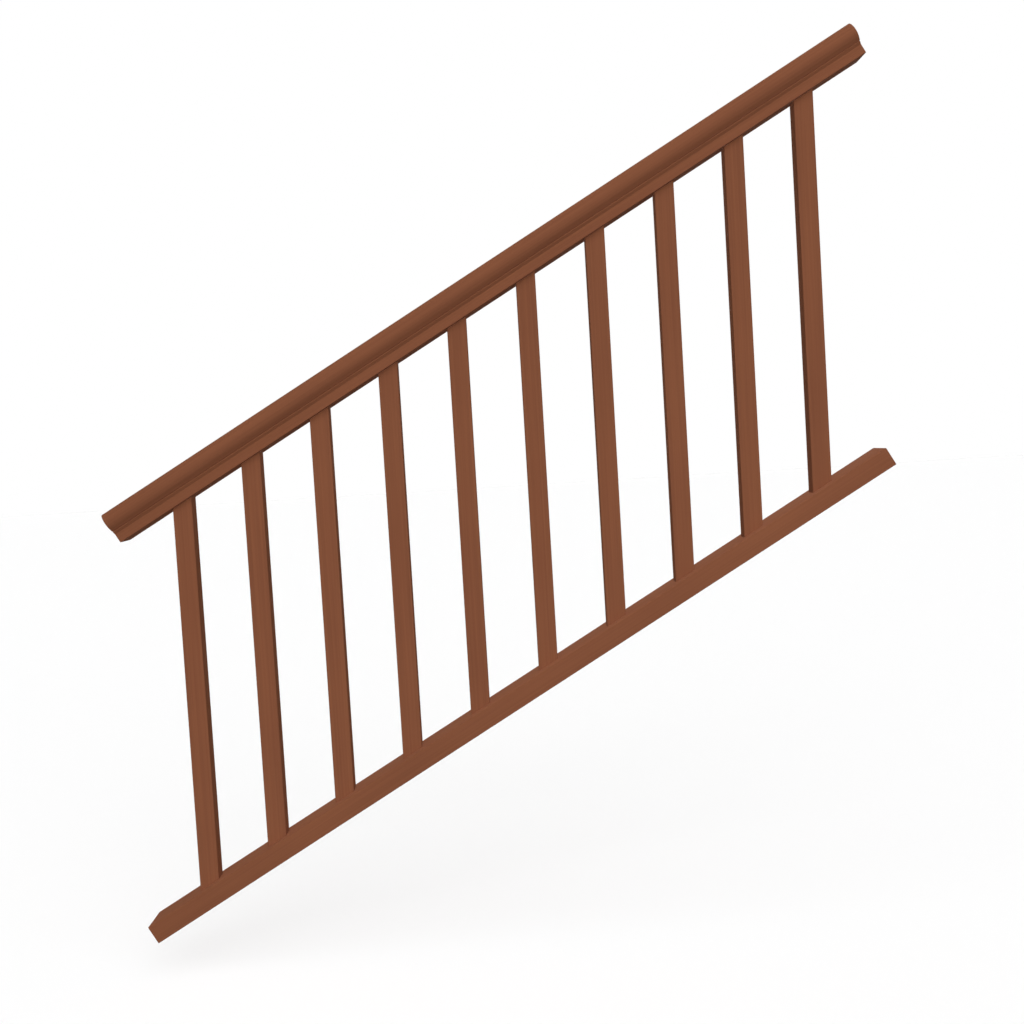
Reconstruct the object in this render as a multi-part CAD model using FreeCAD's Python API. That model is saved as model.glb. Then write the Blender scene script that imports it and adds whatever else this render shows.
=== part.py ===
import FreeCAD, Part
import math
import os

os.makedirs("parts", exist_ok=True)

# stair pitch, set by one step
step_rise = 178.0
step_going = 312.0

# both rails are cut square to this length, measured along the slope
rail_length = 1727.2

# square balusters, stood plumb
baluster_count = 10
baluster_side = 38.1
baluster_gap = 101.6
baluster_arris = 1.5
# plumb distance from the bottom rail's top to the handrail's underside
clear_height = 762.0

# plain bottom rail
bottom_width = 92.0
bottom_thickness = 38.1
bottom_arris = 2.0

# moulded handrail, seen on its end: lip at the bottom, splay and small band, then slope, ovolo, shoulder and crown
lip_width = 71.0
lip_height = 18.5
lip_arris = 1.5
splay_width = 4.0
splay_height = 4.9
band_height = 2.4
quirk_width = 3.0
head_width = 106.5
crown_height = 66.3
crown_radius = 320.0
shoulder_radius = 19.0
ovolo_radius = 20.5

# derived sizes
pitch = math.atan2(step_rise, step_going)
slope = step_rise / step_going
baluster_spacing = baluster_side + baluster_gap
rail_run = rail_length * math.cos(pitch)
end_margin = (rail_run - (baluster_count - 1) * baluster_spacing) / 2.0
# lower end of the line where the baluster feet meet the bottom rail's top
foot_x = -bottom_thickness / 2.0 * math.sin(pitch)
foot_z = bottom_thickness / 2.0 * math.cos(pitch)


def point(y, h):
    return FreeCAD.Vector(0.0, y, h)


# turn a shape that lies along X up to the stair pitch, then set it on a start point
def set_on_pitch(shape, x, z):
    turn = FreeCAD.Rotation(FreeCAD.Vector(0, 1, 0), -math.degrees(pitch))
    shape.Placement = FreeCAD.Placement(FreeCAD.Vector(x, 0, z), turn)
    return shape


# long edges of a straight bar, found by their direction
def edges_along(shape, axis):
    found = []
    for edge in shape.Edges:
        run = edge.Vertexes[-1].Point.sub(edge.Vertexes[0].Point)
        if run.Length > 0 and abs(run.normalize().dot(axis)) > 0.999:
            found.append(edge)
    return found


# arc between two section points about a centre, the short way round
def arc_about(centre, start, end):
    radius = start.sub(centre).Length
    middle = start.sub(centre) + end.sub(centre)
    via = centre + middle.normalize().multiply(radius)
    return Part.Arc(start, via, end).toShape()


# the same edges on the other side of the rail's middle plane
def mirrored(edges):
    return [edge.mirror(FreeCAD.Vector(0, 0, 0), FreeCAD.Vector(0, 1, 0)) for edge in edges]


# right half of the handrail's section, from the underside round to the crown
def handrail_half():
    lip_half = lip_width / 2.0
    head_half = head_width / 2.0
    splay_top = lip_height + splay_height
    band_top = splay_top + band_height
    band_y = lip_half + splay_width
    underside = point(lip_half - lip_arris, 0.0)
    lip_foot = point(lip_half, lip_arris)
    lip_top = point(lip_half, lip_height)
    band_foot = point(band_y, splay_top)
    band_head = point(band_y, band_top)
    ovolo_foot = point(band_y + quirk_width, band_top)

    # the shoulder circle touches the crown circle and the head's widest line
    reach = crown_radius - shoulder_radius
    shoulder_y = head_half - shoulder_radius
    widest_h = crown_height - crown_radius + math.sqrt(reach ** 2 - shoulder_y ** 2)
    crown_centre = point(0.0, crown_height - crown_radius)
    shoulder_centre = point(shoulder_y, widest_h)
    outward = shoulder_centre.sub(crown_centre).normalize()
    touch = crown_centre + outward.multiply(crown_radius)
    widest = point(head_half, widest_h)
    crown = point(0.0, crown_height)

    # the ovolo under the head leaves the widest line upright, then a straight slope runs to the quirk;
    # it is never larger than the arc that would reach the quirk by itself
    across = widest.y - ovolo_foot.y
    down = widest.z - ovolo_foot.z
    largest = (across ** 2 + down ** 2) / (2.0 * across)
    radius = min(ovolo_radius, 0.98 * largest)
    ovolo_centre = point(head_half - radius, widest_h)
    to_foot = ovolo_foot.sub(ovolo_centre)
    touch_angle = math.atan2(to_foot.z, to_foot.y) + math.acos(radius / to_foot.Length)
    slope_top = ovolo_centre + point(radius * math.cos(touch_angle), radius * math.sin(touch_angle))

    arris_centre = point(lip_half - lip_arris, lip_arris)
    return [
        Part.makeLine(point(0.0, 0.0), underside),
        arc_about(arris_centre, underside, lip_foot),
        Part.makeLine(lip_foot, lip_top),
        Part.makeLine(lip_top, band_foot),
        Part.makeLine(band_foot, band_head),
        Part.makeLine(band_head, ovolo_foot),
        Part.makeLine(ovolo_foot, slope_top),
        arc_about(ovolo_centre, slope_top, widest),
        arc_about(shoulder_centre, widest, touch),
        arc_about(crown_centre, touch, crown),
    ]


# the moulded top rail, its underside resting on the baluster heads
def handrail():
    half = handrail_half()
    outline = Part.Wire(Part.__sortEdges__(half + mirrored(half)))
    rail = Part.Face(outline).extrude(FreeCAD.Vector(rail_length, 0, 0))
    return set_on_pitch(rail, foot_x, foot_z + clear_height)


# the plain rail that the balusters stand on, its lower end centred on the origin
def bottom_rail():
    corner = FreeCAD.Vector(0, -bottom_width / 2.0, -bottom_thickness / 2.0)
    rail = Part.makeBox(rail_length, bottom_width, bottom_thickness, corner)
    rail = rail.makeFillet(bottom_arris, edges_along(rail, FreeCAD.Vector(1, 0, 0)))
    return set_on_pitch(rail, 0.0, 0.0)


# slanted slab of space between the two rails
def space_between_rails():
    rise = rail_run * slope
    corners = [
        FreeCAD.Vector(foot_x, -bottom_width, foot_z),
        FreeCAD.Vector(foot_x + rail_run, -bottom_width, foot_z + rise),
        FreeCAD.Vector(foot_x + rail_run, -bottom_width, foot_z + rise + clear_height),
        FreeCAD.Vector(foot_x, -bottom_width, foot_z + clear_height),
    ]
    slab = Part.Face(Part.makePolygon(corners + corners[:1]))
    return slab.extrude(FreeCAD.Vector(0, 2.0 * bottom_width, 0))


# one plumb baluster, its head and foot cut to the pitch
def baluster(number, space):
    centre = foot_x + end_margin + (number - 1) * baluster_spacing
    low = foot_z - baluster_spacing
    high = foot_z + rail_run * slope + clear_height + baluster_spacing
    corner = FreeCAD.Vector(centre - baluster_side / 2.0, -baluster_side / 2.0, low)
    post = Part.makeBox(baluster_side, baluster_side, high - low, corner)
    post = post.makeFillet(baluster_arris, edges_along(post, FreeCAD.Vector(0, 0, 1)))
    return post.common(space).Solids[0]


handrail().exportStep("parts/handrail.step")
bottom_rail().exportStep("parts/bottom_rail.step")
between = space_between_rails()
for number in range(1, baluster_count + 1):
    baluster(number, between).exportStep("parts/baluster_%02d.step" % number)
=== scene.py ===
import bpy
import math
from mathutils import Matrix, Vector


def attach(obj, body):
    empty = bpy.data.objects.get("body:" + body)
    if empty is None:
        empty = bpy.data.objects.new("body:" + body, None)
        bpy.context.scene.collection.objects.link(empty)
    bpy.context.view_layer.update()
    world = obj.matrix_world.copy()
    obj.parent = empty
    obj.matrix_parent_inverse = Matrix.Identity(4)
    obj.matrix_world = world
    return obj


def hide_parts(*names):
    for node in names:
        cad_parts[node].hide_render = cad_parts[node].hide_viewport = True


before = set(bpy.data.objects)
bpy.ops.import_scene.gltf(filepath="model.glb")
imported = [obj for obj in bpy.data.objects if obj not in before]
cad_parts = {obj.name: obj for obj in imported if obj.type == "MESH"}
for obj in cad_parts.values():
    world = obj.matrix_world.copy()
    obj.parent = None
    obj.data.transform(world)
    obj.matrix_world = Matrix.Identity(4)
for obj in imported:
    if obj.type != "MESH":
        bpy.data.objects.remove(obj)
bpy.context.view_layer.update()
mm = 0.001
touching = 1e-6  # metres, points this close count as one
print("frame loaded:", len(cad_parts), "solids")

# the panel's own setting out, in mm, the same as in the solids
panel = {
    "stepRise": 178.0,
    "stepGoing": 312.0,
    "railLength": 1727.2,  # along the slope
    "clearHeight": 762.0,  # plumb, between the rails
    "balusterCount": 10,
    "balusterSide": 38.1,
    "balusterGap": 101.6,
    "bottomThickness": 38.1,
}
pitch = math.atan2(panel["stepRise"], panel["stepGoing"])
slope = panel["stepRise"] / panel["stepGoing"]
railLength = panel["railLength"] * mm
clearHeight = panel["clearHeight"] * mm
bottomThickness = panel["bottomThickness"] * mm
side = panel["balusterSide"] * mm
spacing = side + panel["balusterGap"] * mm
railRun = railLength * math.cos(pitch)
firstCentre = (railRun - (panel["balusterCount"] - 1) * spacing) / 2
# lower end of the line where the feet meet the bottom rail
footX = -bottomThickness / 2 * math.sin(pitch)
footZ = bottomThickness / 2 * math.cos(pitch)


# colours are written as sRGB hex and used as linear
def linear(hexColour):
    parts = [int(hexColour[i:i + 2], 16) / 255 for i in (1, 3, 5)]
    parts = [p / 12.92 if p <= 0.04045 else ((p + 0.055) / 1.055) ** 2.4 for p in parts]
    return (*parts, 1.0)


# one node with its settings; an input is a value, or a (node, output) pair to link
def addNode(tree, kind, settings=None, inputs=None):
    node = tree.nodes.new(kind)
    for name, value in (settings or {}).items():
        setattr(node, name, value)
    for name, value in (inputs or {}).items():
        if isinstance(value, tuple) and isinstance(value[0], bpy.types.Node):
            tree.links.new(value[0].outputs[value[1]], node.inputs[name])
        else:
            node.inputs[name].default_value = value
    return node


def newMaterial(name):
    material = bpy.data.materials.new(name)
    material.use_nodes = True
    material.node_tree.nodes.clear()
    return material


# Pine planed all round under an opaque brown stain: the stain hides most of the figure,
# so the eye gets an even dull brown with faint long streaks and darker end grain.
stain = {
    "darkStreak": "#784A35",
    "lightStreak": "#86543B",
    "endGrain": "#643C29",
    "streakWidth": 3.5,  # mm across the grain
    "streakLength": 420.0,  # mm along it
    "streakNoise": {"Scale": 1.0, "Detail": 4.0, "Roughness": 0.6},
    "cloudSize": 260.0,  # mm, uneven take-up of the stain
    "cloudDetail": 2.0,
    "cloudShare": 0.5,  # of the streaks' own effect
    "toneRange": (0.45, 1.05),  # streaks and clouds added up, from dark to light
    "ringSpacing": 6.0,  # mm, growth rings on the sawn ends
    "ringWobble": {"Distortion": 1.5, "Detail": 2.0},
    "ringShare": 0.45,  # how far a pale ring goes from end grain to dark streak
    "sawnFacing": (0.6, 0.95),  # how squarely a face crosses the grain, from planed to sawn
    "fibreWidth": 1.4,  # mm, drawn coarser than real fibres so that they show
    "fibreLength": 30.0,  # mm
    "fibreNoise": {"Scale": 1.0, "Detail": 3.0, "Roughness": 0.65},
    "fibreRange": (0.3, 0.7),  # noise from the smoothest to the roughest fibre
    "fibreDepth": 0.06,  # mm
    "fibreBump": 0.5,
    "roughness": (0.80, 0.92),
    "specular": 0.004,  # next to none, the picture shows no highlight anywhere
}


# scale that fits a noise cell to a length along the grain and a width across it, in mm
def grainScale(length, width):
    return (1 / (length * mm), 1 / (width * mm), 1 / (width * mm))


def stainedPine(name, grainTurn, grainAxis):
    material = newMaterial(name)
    tree = material.node_tree
    place = addNode(tree, "ShaderNodeTexCoord")
    along = addNode(tree, "ShaderNodeMapping", inputs={
        "Vector": (place, "Object"), "Rotation": grainTurn})
    streakLay = addNode(tree, "ShaderNodeMapping", inputs={
        "Vector": (along, "Vector"),
        "Scale": grainScale(stain["streakLength"], stain["streakWidth"])})
    streaks = addNode(tree, "ShaderNodeTexNoise", inputs={
        "Vector": (streakLay, "Vector"), **stain["streakNoise"]})
    clouds = addNode(tree, "ShaderNodeTexNoise", inputs={
        "Vector": (along, "Vector"),
        "Scale": 1 / (stain["cloudSize"] * mm), "Detail": stain["cloudDetail"]})
    fibreLay = addNode(tree, "ShaderNodeMapping", inputs={
        "Vector": (along, "Vector"),
        "Scale": grainScale(stain["fibreLength"], stain["fibreWidth"])})
    fibres = addNode(tree, "ShaderNodeTexNoise", inputs={
        "Vector": (fibreLay, "Vector"), **stain["fibreNoise"]})

    # long faces: streaks shifted a little by the cloudy take-up
    tone = addNode(tree, "ShaderNodeMath", {"operation": "MULTIPLY_ADD"}, {
        0: (clouds, "Fac"), 1: stain["cloudShare"], 2: (streaks, "Fac")})
    toneFit = addNode(tree, "ShaderNodeMapRange", inputs={
        "Value": (tone, "Value"),
        "From Min": stain["toneRange"][0], "From Max": stain["toneRange"][1]})
    face = addNode(tree, "ShaderNodeMix", {"data_type": "RGBA"}, {
        "Factor": (toneFit, "Result"),
        "A": linear(stain["darkStreak"]), "B": linear(stain["lightStreak"])})

    # sawn ends: the same stain soaks in and shows the rings
    oneWave = math.pi / 10  # what the wave node draws as one ring at scale 1
    rings = addNode(tree, "ShaderNodeTexWave", {"wave_type": "RINGS", "rings_direction": "X"}, {
        "Vector": (along, "Vector"),
        "Scale": oneWave / (stain["ringSpacing"] * mm), **stain["ringWobble"]})
    ringFit = addNode(tree, "ShaderNodeMapRange", inputs={
        "Value": (rings, "Fac"), "To Min": 0.0, "To Max": stain["ringShare"]})
    sawn = addNode(tree, "ShaderNodeMix", {"data_type": "RGBA"}, {
        "Factor": (ringFit, "Result"),
        "A": linear(stain["endGrain"]), "B": linear(stain["darkStreak"])})
    normal = addNode(tree, "ShaderNodeNewGeometry")
    facing = addNode(tree, "ShaderNodeVectorMath", {"operation": "DOT_PRODUCT"}, {
        0: (normal, "Normal"), 1: grainAxis})
    facingSize = addNode(tree, "ShaderNodeMath", {"operation": "ABSOLUTE"}, {0: (facing, "Value")})
    endShare = addNode(tree, "ShaderNodeMapRange", inputs={
        "Value": (facingSize, "Value"),
        "From Min": stain["sawnFacing"][0], "From Max": stain["sawnFacing"][1]})
    colour = addNode(tree, "ShaderNodeMix", {"data_type": "RGBA"}, {
        "Factor": (endShare, "Result"), "A": (face, "Result"), "B": (sawn, "Result")})

    dull = addNode(tree, "ShaderNodeMapRange", inputs={
        "Value": (fibres, "Fac"),
        "From Min": stain["fibreRange"][0], "From Max": stain["fibreRange"][1],
        "To Min": stain["roughness"][0], "To Max": stain["roughness"][1]})
    grainBump = addNode(tree, "ShaderNodeBump", inputs={
        "Height": (fibres, "Fac"),
        "Strength": stain["fibreBump"], "Distance": stain["fibreDepth"] * mm})
    shader = addNode(tree, "ShaderNodeBsdfPrincipled", inputs={
        "Base Color": (colour, "Result"), "Roughness": (dull, "Result"),
        "Specular IOR Level": stain["specular"], "Normal": (grainBump, "Normal")})
    addNode(tree, "ShaderNodeOutputMaterial", inputs={"Surface": (shader, "BSDF")})
    return material


upThePitch = (math.cos(pitch), 0.0, math.sin(pitch))
railPine = stainedPine("stainedPineRail", (0.0, pitch, 0.0), upThePitch)
balusterPine = stainedPine("stainedPineBaluster", (0.0, math.pi / 2, 0.0), (0.0, 0.0, 1.0))
print("materials made")


def deselectAll():
    if bpy.context.mode != "OBJECT":
        bpy.ops.object.mode_set(mode="OBJECT")
    bpy.ops.object.select_all(action="DESELECT")


def makeActive(piece):
    deselectAll()
    piece.select_set(True)
    bpy.context.view_layer.objects.active = piece


# go into edit mode with only the edges that pass the test selected
def pickEdges(piece, test):
    makeActive(piece)
    bpy.ops.object.mode_set(mode="EDIT")
    bpy.ops.mesh.select_mode(type="EDGE")
    bpy.ops.mesh.select_all(action="DESELECT")
    bpy.ops.object.mode_set(mode="OBJECT")
    points = [v.co.copy() for v in piece.data.vertices]
    for edge in piece.data.edges:
        edge.select = test(points[edge.vertices[0]], points[edge.vertices[1]])
    bpy.ops.object.mode_set(mode="EDIT")


def bevelEdges(piece, test, width, segments):
    pickEdges(piece, test)
    bpy.ops.mesh.bevel(offset=width, segments=segments, profile=0.5, affect="EDGES")
    bpy.ops.object.mode_set(mode="OBJECT")


# true for an edge round either sawn end of a rail that still lies along X
def onSawnEnd(a, b):
    return any(abs(a.x - x) < touching and abs(b.x - x) < touching for x in (0.0, railLength))


def startCube(name, size, centre):
    deselectAll()
    bpy.ops.mesh.primitive_cube_add(size=1.0, location=centre)
    piece = bpy.context.object
    piece.name = name
    piece.scale = size
    bpy.ops.object.transform_apply(location=True, rotation=True, scale=True)
    return piece


# tip a piece that lies along X up to the stair pitch and set its start point
def layOnPitch(piece, x, z):
    makeActive(piece)
    piece.rotation_euler = (0.0, -pitch, 0.0)
    piece.location = (x, 0.0, z)
    bpy.ops.object.transform_apply(location=True, rotation=True, scale=True)


crispFrom = 35.0  # degrees, an edge this sharp or sharper stays crisp


def finishPiece(piece, material, node):
    makeActive(piece)
    bpy.ops.object.mode_set(mode="EDIT")
    bpy.ops.mesh.select_all(action="SELECT")
    bpy.ops.mesh.normals_make_consistent(inside=False)
    bpy.ops.object.mode_set(mode="OBJECT")
    bpy.ops.object.shade_smooth_by_angle(angle=math.radians(crispFrom))
    piece.data.materials.clear()
    piece.data.materials.append(material)
    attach(piece, "root")
    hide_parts(node)


# moulded handrail, drawn as half a section and run to length
handrail = {
    # the section, in mm
    "section": {
        "lipWidth": 71.0,
        "lipHeight": 18.5,
        "lipArris": 1.5,
        "splayWidth": 4.0,
        "splayHeight": 4.9,
        "bandHeight": 2.4,
        "quirkWidth": 3.0,
        "headWidth": 106.5,
        "crownHeight": 66.3,
        "crownRadius": 320.0,
        "shoulderRadius": 19.0,
        "ovoloRadius": 20.5,
    },
    "arcStep": 5.0,  # degrees of turn per facet
    "fewestFacets": 3,  # on a short arc
    "endEase": 0.4,  # mm, on the sawn ends
    "endFacets": 2,
}


# pen strokes from the crown round to the middle of the underside; an arc names its centre
def handrailStrokes(h):
    headHalf = h["headWidth"] / 2
    lipHalf = h["lipWidth"] / 2
    bandY = lipHalf + h["splayWidth"]
    bandFoot = h["lipHeight"] + h["splayHeight"]
    bandTop = bandFoot + h["bandHeight"]
    # the shoulder circle touches the crown circle and the head's widest line
    reach = h["crownRadius"] - h["shoulderRadius"]
    shoulderY = headHalf - h["shoulderRadius"]
    widest = h["crownHeight"] - h["crownRadius"] + math.sqrt(reach ** 2 - shoulderY ** 2)
    crownCentre = Vector((0, 0, h["crownHeight"] - h["crownRadius"]))
    shoulderCentre = Vector((0, shoulderY, widest))
    touch = crownCentre + (shoulderCentre - crownCentre).normalized() * h["crownRadius"]
    quirk = Vector((0, bandY + h["quirkWidth"], bandTop))
    # the ovolo runs on as a straight slope to the quirk
    ovoloCentre = Vector((0, headHalf - h["ovoloRadius"], widest))
    toQuirk = quirk - ovoloCentre
    slopeAngle = math.atan2(toQuirk.z, toQuirk.y) + math.acos(h["ovoloRadius"] / toQuirk.length)
    slopeNormal = Vector((0, math.cos(slopeAngle), math.sin(slopeAngle)))
    slopeTop = ovoloCentre + h["ovoloRadius"] * slopeNormal
    arrisCentre = Vector((0, lipHalf - h["lipArris"], h["lipArris"]))
    return [
        (touch, crownCentre),
        (Vector((0, headHalf, widest)), shoulderCentre),
        (slopeTop, ovoloCentre),
        (quirk, None),
        (Vector((0, bandY, bandTop)), None),
        (Vector((0, bandY, bandFoot)), None),
        (Vector((0, lipHalf, h["lipHeight"])), None),
        (Vector((0, lipHalf, h["lipArris"])), None),
        (Vector((0, lipHalf - h["lipArris"], 0)), arrisCentre),
        (Vector((0, 0, 0)), None),
    ]


def makeHandrail():
    h = {key: value * mm for key, value in handrail["section"].items()}
    deselectAll()
    bpy.ops.mesh.primitive_plane_add(size=1.0, location=(0, 0, 0))  # becomes the pen's start point
    piece = bpy.context.object
    piece.name = "handrailMoulding"
    bpy.ops.object.mode_set(mode="EDIT")
    bpy.ops.mesh.select_mode(type="VERT")
    bpy.ops.mesh.select_all(action="SELECT")
    bpy.ops.mesh.merge(type="CENTER")
    pen = Vector((0, 0, h["crownHeight"]))
    bpy.ops.transform.translate(value=pen)
    for target, centre in handrailStrokes(h):
        if centre is None:
            bpy.ops.mesh.extrude_region_move(TRANSFORM_OT_translate={"value": target - pen})
        else:
            start, end = pen - centre, target - centre
            turn = math.atan2(start.cross(end).x, start.dot(end))
            facets = round(math.degrees(abs(turn)) / handrail["arcStep"])
            facets = max(handrail["fewestFacets"], facets)
            bpy.ops.mesh.spin(steps=facets, angle=-turn, center=centre, axis=(1, 0, 0))
        pen = target

    # mirror the half, close it and run it to length
    bpy.ops.mesh.select_all(action="SELECT")
    bpy.ops.mesh.symmetrize(direction="POSITIVE_Y", threshold=touching)
    bpy.ops.mesh.select_all(action="SELECT")
    bpy.ops.mesh.remove_doubles(threshold=touching)
    bpy.ops.mesh.select_all(action="SELECT")
    bpy.ops.mesh.edge_face_add()
    bpy.ops.mesh.extrude_region_move(TRANSFORM_OT_translate={"value": (railLength, 0, 0)})
    bpy.ops.object.mode_set(mode="OBJECT")
    bevelEdges(piece, onSawnEnd, handrail["endEase"] * mm, handrail["endFacets"])
    layOnPitch(piece, footX, footZ + clearHeight)
    finishPiece(piece, railPine, "handrail")
    return piece


handrailPiece = makeHandrail()
print("handrail:", len(handrailPiece.data.polygons), "faces")

# plain bottom rail
bottomRail = {
    "width": 92.0,  # mm
    "arris": 2.0,  # mm, rounding of the long edges
    "arrisFacets": 5,
    "endEase": 0.6,  # mm, on the sawn ends
    "endFacets": 2,
}


def makeBottomRail():
    size = (railLength, bottomRail["width"] * mm, bottomThickness)
    piece = startCube("bottomRailBoard", size, (railLength / 2, 0, 0))

    def runsAlong(a, b):
        return abs(a.x - b.x) > railLength / 2
    bevelEdges(piece, runsAlong, bottomRail["arris"] * mm, bottomRail["arrisFacets"])
    bevelEdges(piece, onSawnEnd, bottomRail["endEase"] * mm, bottomRail["endFacets"])
    layOnPitch(piece, 0.0, 0.0)
    finishPiece(piece, railPine, "bottom_rail")
    return piece


bottomRailPiece = makeBottomRail()
print("bottom rail:", len(bottomRailPiece.data.polygons), "faces")

# square balusters, cut to the pitch at head and foot
baluster = {
    "arris": 1.5,  # mm, rounding of the long edges
    "arrisFacets": 4,
}


def makeFirstBaluster():
    centreX = footX + firstCentre
    footAtCentre = footZ + firstCentre * slope
    height = clearHeight + 2 * spacing  # left long at both ends, to be trimmed
    middle = (centreX, 0, footAtCentre + clearHeight / 2)
    piece = startCube("balusterPost01", (side, side, height), middle)

    def runsUp(a, b):
        return abs(a.z - b.z) > height / 2
    bevelEdges(piece, runsUp, baluster["arris"] * mm, baluster["arrisFacets"])
    up = Vector((-math.sin(pitch), 0, math.cos(pitch)))
    for level, keepAbove in ((0.0, True), (clearHeight, False)):
        bpy.ops.object.mode_set(mode="EDIT")
        bpy.ops.mesh.select_all(action="SELECT")
        bpy.ops.mesh.bisect(
            plane_co=(centreX, 0, footAtCentre + level), plane_no=up, use_fill=True,
            clear_inner=keepAbove, clear_outer=not keepAbove)
        bpy.ops.object.mode_set(mode="OBJECT")
    return piece


def makeBalusters():
    first = makeFirstBaluster()
    posts = [first]
    for number in range(2, panel["balusterCount"] + 1):
        makeActive(first)
        bpy.ops.object.duplicate(linked=False)
        post = bpy.context.object
        post.name = "balusterPost%02d" % number
        step = (number - 1) * spacing
        post.location = (step, 0, step * slope)
        bpy.ops.object.transform_apply(location=True, rotation=True, scale=True)
        posts.append(post)
    for number, post in enumerate(posts, 1):
        finishPiece(post, balusterPine, "baluster_%02d" % number)
    return posts


balusterPieces = makeBalusters()
print("balusters:", len(balusterPieces))

# camera at the photograph's viewing angle, from a fit to the panel's edges
view = {
    "place": (0.74358, -2.68045, 0.92491),  # metres
    "turn": (0.05019, -0.00649, -0.06065),  # radians, as one turn vector in camera axes
    "focalPixels": 1355.94,
    "imageSize": 1024,
    "sensorWidth": 36.0,  # mm
    "farthest": 100.0,  # metres, beyond the floor's edge
}


def makeCamera():
    turn = Vector(view["turn"])
    level = Matrix(((1, 0, 0), (0, 0, -1), (0, 1, 0)))  # rows: right, down, forward
    looking = Matrix.Rotation(turn.length, 3, turn.normalized()) @ level
    right, down, forward = looking
    lens = bpy.data.cameras.new("photoCamera")
    lens.sensor_width = view["sensorWidth"]
    lens.lens = view["focalPixels"] / view["imageSize"] * view["sensorWidth"]
    lens.clip_end = view["farthest"]
    camera = bpy.data.objects.new("photoCamera", lens)
    bpy.context.scene.collection.objects.link(camera)
    axes = Matrix((right, -down, -forward)).transposed().to_4x4()
    camera.matrix_world = Matrix.Translation(view["place"]) @ axes
    bpy.context.scene.camera = camera


makeCamera()
print("camera set")

# pale studio: white all round, two broad soft lamps in front, fills elsewhere and a floor below
studio = {
    "white": "#FFFFFF",
    "whiteSeen": 1.0,  # strength of the white behind the panel, seen but not lighting it
    "skyStrength": 0.03,
    # angles in degrees; a lamp without shadows only fills, as the broad walls of a white studio do
    "lamps": [
        {"name": "frontLamp", "strength": 1.18, "angle": 65.0,
         "from": (0.07, -0.96, 0.26), "shadow": True},
        {"name": "upperLamp", "strength": 0.80, "angle": 90.0,
         "from": (0.05, -0.76, 0.64), "shadow": True},
        {"name": "lowFill", "strength": 0.86, "angle": 60.0,
         "from": (0.06, -0.86, -0.50), "shadow": False},
        {"name": "overheadFill", "strength": 1.99, "angle": 125.0,
         "from": (0.0, -0.04, 1.0), "shadow": False},
        {"name": "backFill", "strength": 1.46, "angle": 60.0,
         "from": (0.0, 0.94, 0.34), "shadow": False},
    ],
    "floorMiddle": (0.75, 0.0),  # metres, below the panel's middle
    "floorLevel": -90.0,  # mm
    "floorSize": 60.0,  # metres
    "floorSeen": "#F4F4F4",
    "floorBounce": "#666666",  # as it lights the panel, so that undersides stay dark
}


# 1 where the camera looks straight at a surface, or sees it in a reflection or through glass
def seenDirectly(tree):
    path = addNode(tree, "ShaderNodeLightPath")
    shown = addNode(tree, "ShaderNodeMath", {"operation": "MAXIMUM"}, {
        0: (path, "Is Camera Ray"), 1: (path, "Is Glossy Ray")})
    return addNode(tree, "ShaderNodeMath", {"operation": "MAXIMUM"}, {
        0: (shown, "Value"), 1: (path, "Is Transmission Ray")})


def makeWhiteSky():
    world = bpy.data.worlds.new("studioWhite")
    bpy.context.scene.world = world
    world.use_nodes = True
    tree = world.node_tree
    tree.nodes.clear()
    seen = seenDirectly(tree)
    light = addNode(tree, "ShaderNodeBackground", inputs={
        "Color": linear(studio["white"]), "Strength": studio["skyStrength"]})
    white = addNode(tree, "ShaderNodeBackground", inputs={
        "Color": linear(studio["white"]), "Strength": studio["whiteSeen"]})
    mixed = addNode(tree, "ShaderNodeMixShader", inputs={
        0: (seen, "Value"), 1: (light, "Background"), 2: (white, "Background")})
    addNode(tree, "ShaderNodeOutputWorld", inputs={"Surface": (mixed, "Shader")})


def makeLamps():
    for setting in studio["lamps"]:
        lamp = bpy.data.lights.new(setting["name"], "SUN")
        lamp.energy = setting["strength"]
        lamp.angle = math.radians(setting["angle"])
        lamp.use_shadow = setting["shadow"]
        # off for a fill, or stray rays would shade it after all
        lamp.cycles.use_multiple_importance_sampling = setting["shadow"]
        lampObject = bpy.data.objects.new(setting["name"], lamp)
        bpy.context.scene.collection.objects.link(lampObject)
        lampObject.rotation_euler = Vector(setting["from"]).to_track_quat("Z", "Y").to_euler()


# matte floor, pale to the eye but darker in what it sends back up
def makeFloor():
    deselectAll()
    bpy.ops.mesh.primitive_plane_add(
        size=studio["floorSize"], location=(*studio["floorMiddle"], studio["floorLevel"] * mm))
    floor = bpy.context.object
    floor.name = "studioFloor"
    paint = newMaterial("paleFloor")
    tree = paint.node_tree
    seen = seenDirectly(tree)
    bounce = addNode(tree, "ShaderNodeBsdfDiffuse", inputs={"Color": linear(studio["floorBounce"])})
    matte = addNode(tree, "ShaderNodeBsdfDiffuse", inputs={"Color": linear(studio["floorSeen"])})
    mixed = addNode(tree, "ShaderNodeMixShader", inputs={
        0: (seen, "Value"), 1: (bounce, "BSDF"), 2: (matte, "BSDF")})
    addNode(tree, "ShaderNodeOutputMaterial", inputs={"Surface": (mixed, "Shader")})
    floor.data.materials.append(paint)


makeWhiteSky()
makeLamps()
makeFloor()
bpy.context.scene.view_settings.view_transform = "Standard"
print("studio lit")
